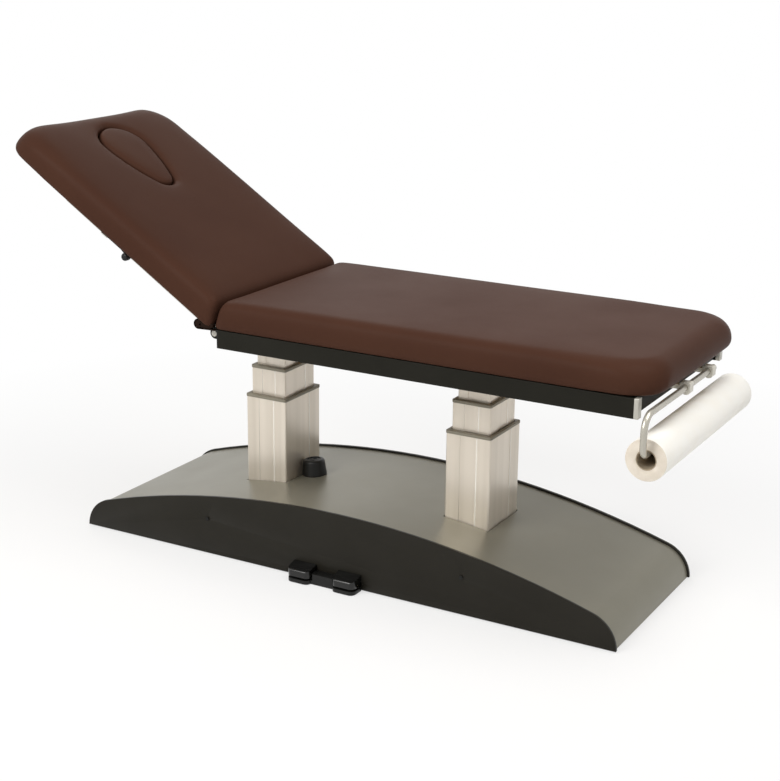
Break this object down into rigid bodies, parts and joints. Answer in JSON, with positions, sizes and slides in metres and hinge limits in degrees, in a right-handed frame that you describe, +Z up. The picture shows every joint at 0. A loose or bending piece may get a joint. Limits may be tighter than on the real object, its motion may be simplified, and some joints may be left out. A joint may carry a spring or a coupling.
{
  "type": "electric examination table",
  "caption": "Electric examination table with telescopic lifting columns, arched base shell, tilting backrest with face opening, foot pedals and a paper roll holder.",
  "frame": {"origin": "on the floor under the middle of the base, half way between the lifting columns", "axes": "+X to the foot end with the paper roll, +Y to the side away from the pedals, +Z up"},
  "size_m": [1.8669, 0.644, 1.0995],
  "materials": {
    "frame_black": "satin",
    "chassis": "satin",
    "panel": "satin",
    "cover": "satin",
    "column": "satin",
    "collar": "matte",
    "zinc": "satin",
    "screw_black": "satin",
    "screw_steel": "satin",
    "bronze": "satin",
    "silver": "satin",
    "silver_plastic": "satin",
    "rod": "polished",
    "black_plastic": "satin",
    "pedal_gloss": "gloss",
    "insert": "matte",
    "rubber": "matte",
    "vinyl_seat": "satin",
    "vinyl_back": "satin",
    "plywood": "matte",
    "paper": "matte",
    "card": "matte",
    "holder": "satin"
  },
  "bodies": {
    "base": {"base_side_tubes": "chassis", "base_cross_tubes": "chassis", "column_plates": "chassis", "plate_bolts": "zinc", "levelling_feet": "rubber", "foot_stems": "zinc", "base_cover": "cover", "side_panel_front": "panel", "side_panel_rear": "panel", "panel_brackets": "chassis", "panel_screws": "screw_black", "control_tray": "chassis", "control_box": "black_plastic", "mains_inlet": "black_plastic", "socket_housing": "black_plastic", "socket_insert": "insert", "pedal_housing": "black_plastic", "pedal_pins": "zinc", "gearboxes": "chassis", "lift_motors": "chassis", "column_outer_head": "column", "column_outer_foot": "column", "outer_collars": "collar"},
    "lower_screw_head": {"lower_screw_head": "screw_steel"},
    "lower_screw_foot": {"lower_screw_foot": "screw_steel"},
    "mid_stages": {"column_middle_head": "column", "column_middle_foot": "column", "middle_collars": "collar", "lower_nuts": "bronze"},
    "upper_screw_head": {"upper_screw_head": "screw_steel"},
    "upper_screw_foot": {"upper_screw_foot": "screw_steel"},
    "seat": {"inner_columns": "column", "upper_nuts": "bronze", "head_plates": "chassis", "head_plate_bolts": "zinc", "side_rail_front": "frame_black", "side_rail_rear": "frame_black", "cross_members": "frame_black", "foot_end_panel": "frame_black", "rail_caps_foot": "silver_plastic", "rail_caps_head": "black_plastic", "seat_board": "plywood", "seat_cushion": "vinyl_seat", "hinge_brackets": "frame_black", "pivot_bolts": "zinc", "roll_brackets": "holder", "roll_rod": "rod", "gas_cylinder": "black_plastic"},
    "gas_rod": {"gas_rod": "rod"},
    "backrest": {"back_arms": "silver", "back_cross_tubes": "silver", "back_board": "plywood", "back_cushion": "vinyl_back", "hinge_flap": "vinyl_back"},
    "release_lever": {"release_lever": "black_plastic"},
    "face_plug": {"face_plug": "vinyl_back"},
    "paper_roll": {"paper_roll": "paper", "roll_core": "card"},
    "pedal_up": {"pedal_up_pad": "pedal_gloss"},
    "pedal_down": {"pedal_down_pad": "pedal_gloss"}
  },
  "joints": [
    {"name": "lift_lower", "type": "slide", "parent": "base", "child": "mid_stages", "axis": [0, 0, 1], "range_m": [-0.068, 0.132]},
    {"name": "lift_upper", "type": "slide", "parent": "mid_stages", "child": "seat", "axis": [0, 0, 1], "range_m": [-0.068, 0.132]},
    {"name": "backrest_tilt", "type": "hinge", "parent": "seat", "child": "backrest", "pos_m": [-0.3315, 0, 0.622], "axis": [0, 1, 0], "range_deg": [-32.5, 32.5], "deforming": ["hinge_flap"]},
    {"name": "face_plug_lift", "type": "slide", "parent": "backrest", "child": "face_plug", "axis": [0.5373, 0, 0.8434], "range_m": [0, 0.1]},
    {"name": "roll_spin", "type": "hinge", "parent": "seat", "child": "paper_roll", "pos_m": [0.85, 0, 0.505], "axis": [0, 1, 0], "continuous": true},
    {"name": "pedal_up_press", "type": "hinge", "parent": "base", "child": "pedal_up", "pos_m": [0.0635, -0.2623, 0.023], "axis": [1, 0, 0], "range_deg": [0, 4], "stiffness_Nm_per_rad": 2, "springref_deg": -4.98},
    {"name": "pedal_down_press", "type": "hinge", "parent": "base", "child": "pedal_down", "pos_m": [-0.0695, -0.2623, 0.023], "axis": [1, 0, 0], "range_deg": [0, 4], "stiffness_Nm_per_rad": 2, "springref_deg": -4.98},
    {"name": "release_press", "type": "hinge", "parent": "backrest", "child": "release_lever", "pos_m": [-0.67898, -0.27, 0.84337], "axis": [0, -1, 0], "range_deg": [0, 5], "stiffness_Nm_per_rad": 1, "springref_deg": -8.59},
    {"name": "gas_slide", "type": "slide", "parent": "seat", "child": "gas_rod", "axis": [-1, 0, 0.0036], "range_m": [-0.0282, 0.0282]},
    {"name": "lower_screw_head_turn", "type": "hinge", "parent": "base", "child": "lower_screw_head", "pos_m": [-0.303, 0, 0.2], "axis": [0, 0, 1], "range_deg": [-2041, 3961]},
    {"name": "upper_screw_head_turn", "type": "hinge", "parent": "mid_stages", "child": "upper_screw_head", "pos_m": [-0.303, 0, 0.3], "axis": [0, 0, 1], "range_deg": [-2041, 3961]},
    {"name": "lower_screw_foot_turn", "type": "hinge", "parent": "base", "child": "lower_screw_foot", "pos_m": [0.303, 0, 0.2], "axis": [0, 0, 1], "range_deg": [-2041, 3961]},
    {"name": "upper_screw_foot_turn", "type": "hinge", "parent": "mid_stages", "child": "upper_screw_foot", "pos_m": [0.303, 0, 0.3], "axis": [0, 0, 1], "range_deg": [-2041, 3961]}
  ],
  "couplings": [
    {"joint": "lift_upper", "follows": "lift_lower", "ratio": 1},
    {"joint": "gas_slide", "follows": "backrest_tilt", "m_per_rad": 0.0492},
    {"joint": "lower_screw_head_turn", "follows": "lift_lower", "rad_per_m": 523.6},
    {"joint": "upper_screw_head_turn", "follows": "lift_lower", "rad_per_m": 523.6},
    {"joint": "lower_screw_foot_turn", "follows": "lift_lower", "rad_per_m": 523.6},
    {"joint": "upper_screw_foot_turn", "follows": "lift_lower", "rad_per_m": 523.6}
  ]
}
